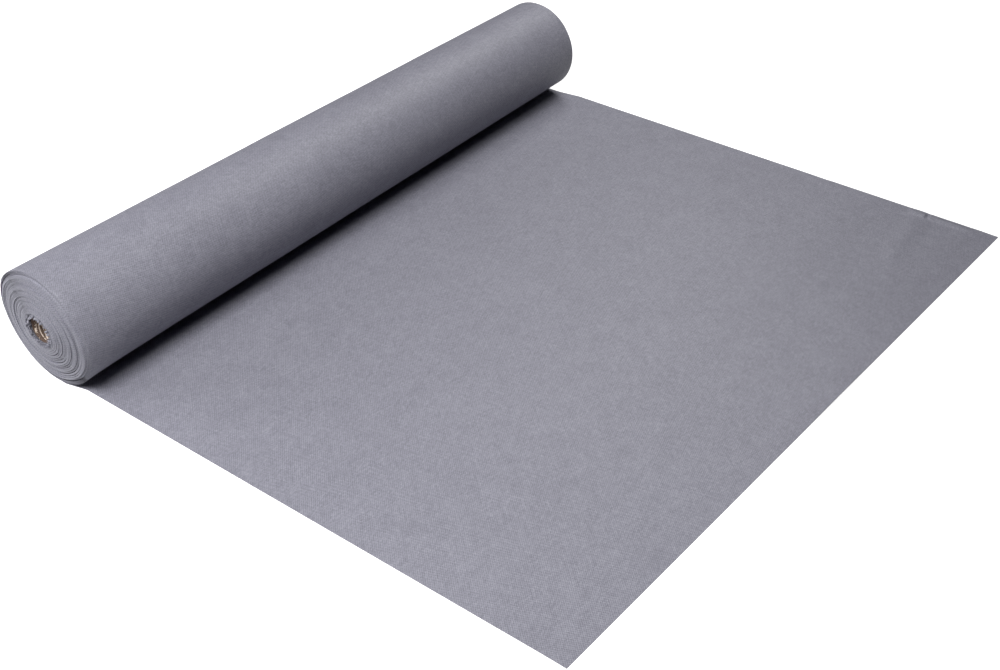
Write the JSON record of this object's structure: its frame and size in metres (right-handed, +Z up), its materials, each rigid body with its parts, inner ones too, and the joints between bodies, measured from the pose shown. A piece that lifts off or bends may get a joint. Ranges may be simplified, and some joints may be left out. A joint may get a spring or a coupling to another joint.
{
  "type": "geotextile roll",
  "caption": "Roll of grey nonwoven geotextile on a cardboard core, with its free end unrolled flat on the ground beside it.",
  "frame": {"origin": "middle of the bounding box's base, on the ground", "axes": "+X along the roll's axis from the end where the core stands out to the end where it is sunk in; the web is laid out towards -Y; +Z up"},
  "size_m": [1.614, 1.4612, 0.242],
  "materials": {
    "geotextile": "thermally bonded nonwoven, matt mid grey with a slight violet cast, cloudy fibres and a fine grid of bond points",
    "cardboard": "spirally wound brown paper tube, matt",
    "tape": "thin double-sided tape"
  },
  "bodies": {
    "ground_sheet": {"laid_sheet": "geotextile", "free_end": "geotextile"},
    "outer_wrap": {"outer_turn": "geotextile"},
    "wound_roll": {"wound_web": "geotextile", "core_tube": "cardboard", "start_tape": "tape"}
  },
  "joints": [
    {"name": "roll_travel", "type": "slide", "parent": "ground_sheet", "child": "outer_wrap", "axis": [0, -1, 0], "range_m": [0, 1.1], "deforming": ["laid_sheet"]},
    {"name": "roll_turn", "type": "hinge", "parent": "outer_wrap", "child": "wound_roll", "pos_m": [0.007, 0.60942, 0.121], "axis": [1, 0, 0], "range_deg": [0, 520]}
  ],
  "couplings": [
    {"joint": "roll_turn", "follows": "roll_travel", "rad_per_m": 8.25}
  ]
}
